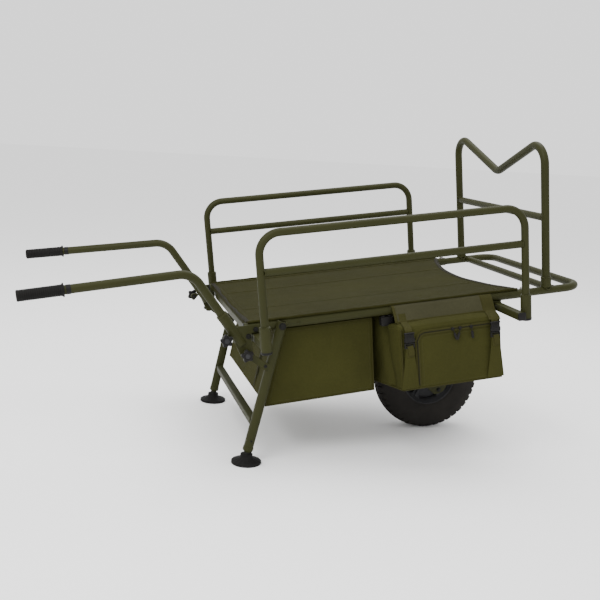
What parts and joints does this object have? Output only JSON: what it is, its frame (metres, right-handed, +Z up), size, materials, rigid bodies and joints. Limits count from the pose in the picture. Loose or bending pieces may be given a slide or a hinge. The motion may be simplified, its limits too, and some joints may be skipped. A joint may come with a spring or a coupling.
{
  "type": "angler load barrow",
  "caption": "Folding single-wheel load barrow with a tube deck, side rails, telescopic legs, a front V frame and two bags.",
  "frame": {"origin": "centre of the bounding box on the ground, midway between the left and the right side", "axes": "+X towards the wheel end, along the direction of travel; +Y to the left of someone pushing it; +Z up"},
  "size_m": [1.8865, 1.0826, 1.0952],
  "materials": {
    "frame": "satin",
    "fabric": "matte",
    "bag_fabric": "matte",
    "plastic": "matte",
    "rubber": "matte",
    "tyre": "matte",
    "steel": "satin"
  },
  "bodies": {
    "chassis": {"left_side_tube": "frame", "right_side_tube": "frame", "left_clamp_bolt": "steel", "right_clamp_bolt": "steel", "rear_deck_tube": "frame", "rear_cross_tube": "frame", "wheel_cross_tube": "frame", "front_cross_tube": "frame", "left_handle_bracket": "frame", "right_handle_bracket": "frame", "left_fork_arm": "frame", "right_fork_arm": "frame", "axle": "steel", "left_axle_nut": "steel", "right_axle_nut": "steel", "left_leg_pivot_bolt": "steel", "right_leg_pivot_bolt": "steel", "deck_fabric": "fabric", "under_bag": "bag_fabric", "side_bag": "bag_fabric", "side_bag_flap": "fabric", "rear_buckle": "plastic", "front_buckle": "plastic"},
    "wheel": {"tyre": "tyre", "rim": "plastic", "left_bearing": "steel", "right_bearing": "steel"},
    "leg_frame": {"left_leg": "frame", "right_leg": "frame", "leg_brace": "frame", "left_lock_strut": "frame", "right_lock_strut": "frame"},
    "left_inner_leg": {"left_inner_leg": "frame"},
    "left_foot": {"left_foot": "rubber"},
    "left_handle": {"left_handle": "frame", "left_grip": "rubber"},
    "left_rail_carrier": {"left_rear_outrigger": "frame", "left_front_outrigger": "frame", "left_front_outrigger_cap": "plastic"},
    "left_side_rail": {"left_rail_hoop": "frame", "left_rail_mid_bar": "frame"},
    "left_handle_knob": {"left_handle_knob": "plastic"},
    "left_leg_lock_knob": {"left_leg_lock_knob": "plastic"},
    "right_inner_leg": {"right_inner_leg": "frame"},
    "right_foot": {"right_foot": "rubber"},
    "right_handle": {"right_handle": "frame", "right_grip": "rubber"},
    "right_rail_carrier": {"right_rear_outrigger": "frame", "right_front_outrigger": "frame", "right_front_outrigger_cap": "plastic"},
    "right_side_rail": {"right_rail_hoop": "frame", "right_rail_mid_bar": "frame"},
    "right_handle_knob": {"right_handle_knob": "plastic"},
    "right_leg_lock_knob": {"right_leg_lock_knob": "plastic"},
    "extension": {"extension_tube": "frame", "extension_cross_bar": "frame"},
    "v_frame": {"v_frame": "frame", "v_frame_cross_bar": "frame"}
  },
  "joints": [
    {"name": "wheel_spin", "type": "hinge", "parent": "chassis", "child": "wheel", "pos_m": [0.5316, 0, 0.19924], "axis": [0, 1, 0], "continuous": true},
    {"name": "leg_fold", "type": "hinge", "parent": "chassis", "child": "leg_frame", "pos_m": [-0.1356, 0, 0.46798], "axis": [0, -1, 0], "range_deg": [0, 45]},
    {"name": "left_leg_extend", "type": "slide", "parent": "leg_frame", "child": "left_inner_leg", "axis": [-0.1891, -0.0595, -0.9802], "range_m": [0, 0.15]},
    {"name": "left_foot_tilt", "type": "hinge", "parent": "left_inner_leg", "child": "left_foot", "pos_m": [-0.2201, 0.3444, 0.03], "axis": [0, 1, 0], "range_deg": [-10, 10]},
    {"name": "left_handle_lift", "type": "slide", "parent": "chassis", "child": "left_handle", "axis": [-0.6057, 0, 0.7957], "range_m": [0, 0.06]},
    {"name": "left_rail_reach", "type": "slide", "parent": "chassis", "child": "left_rail_carrier", "axis": [0, -1, 0], "range_m": [0, 0.1]},
    {"name": "left_rail_lift", "type": "slide", "parent": "left_rail_carrier", "child": "left_side_rail", "axis": [-0.1336, 0, 0.991], "range_m": [0, 0.06]},
    {"name": "left_handle_knob_turn", "type": "hinge", "parent": "chassis", "child": "left_handle_knob", "pos_m": [-0.31244, 0.381, 0.4214], "axis": [0, 1, 0], "range_deg": [0, 720]},
    {"name": "left_leg_lock_knob_turn", "type": "hinge", "parent": "leg_frame", "child": "left_leg_lock_knob", "pos_m": [-0.24598, 0.3914, 0.37591], "axis": [0, 1, 0], "range_deg": [0, 720]},
    {"name": "right_leg_extend", "type": "slide", "parent": "leg_frame", "child": "right_inner_leg", "axis": [-0.1891, 0.0595, -0.9802], "range_m": [0, 0.15]},
    {"name": "right_foot_tilt", "type": "hinge", "parent": "right_inner_leg", "child": "right_foot", "pos_m": [-0.2201, -0.3444, 0.03], "axis": [0, 1, 0], "range_deg": [-10, 10]},
    {"name": "right_handle_lift", "type": "slide", "parent": "chassis", "child": "right_handle", "axis": [-0.6057, 0, 0.7957], "range_m": [0, 0.06]},
    {"name": "right_rail_reach", "type": "slide", "parent": "chassis", "child": "right_rail_carrier", "axis": [0, 1, 0], "range_m": [0, 0.1]},
    {"name": "right_rail_lift", "type": "slide", "parent": "right_rail_carrier", "child": "right_side_rail", "axis": [-0.1336, 0, 0.991], "range_m": [0, 0.06]},
    {"name": "right_handle_knob_turn", "type": "hinge", "parent": "chassis", "child": "right_handle_knob", "pos_m": [-0.31244, -0.381, 0.4214], "axis": [0, 1, 0], "range_deg": [0, 720]},
    {"name": "right_leg_lock_knob_turn", "type": "hinge", "parent": "leg_frame", "child": "right_leg_lock_knob", "pos_m": [-0.24598, -0.3914, 0.37591], "axis": [0, 1, 0], "range_deg": [0, 720]},
    {"name": "extension_reach", "type": "slide", "parent": "chassis", "child": "extension", "axis": [0.991, 0, 0.1336], "range_m": [-0.05, 0.12]},
    {"name": "v_frame_lift", "type": "slide", "parent": "extension", "child": "v_frame", "axis": [-0.1336, 0, 0.991], "range_m": [0, 0.05]}
  ]
}
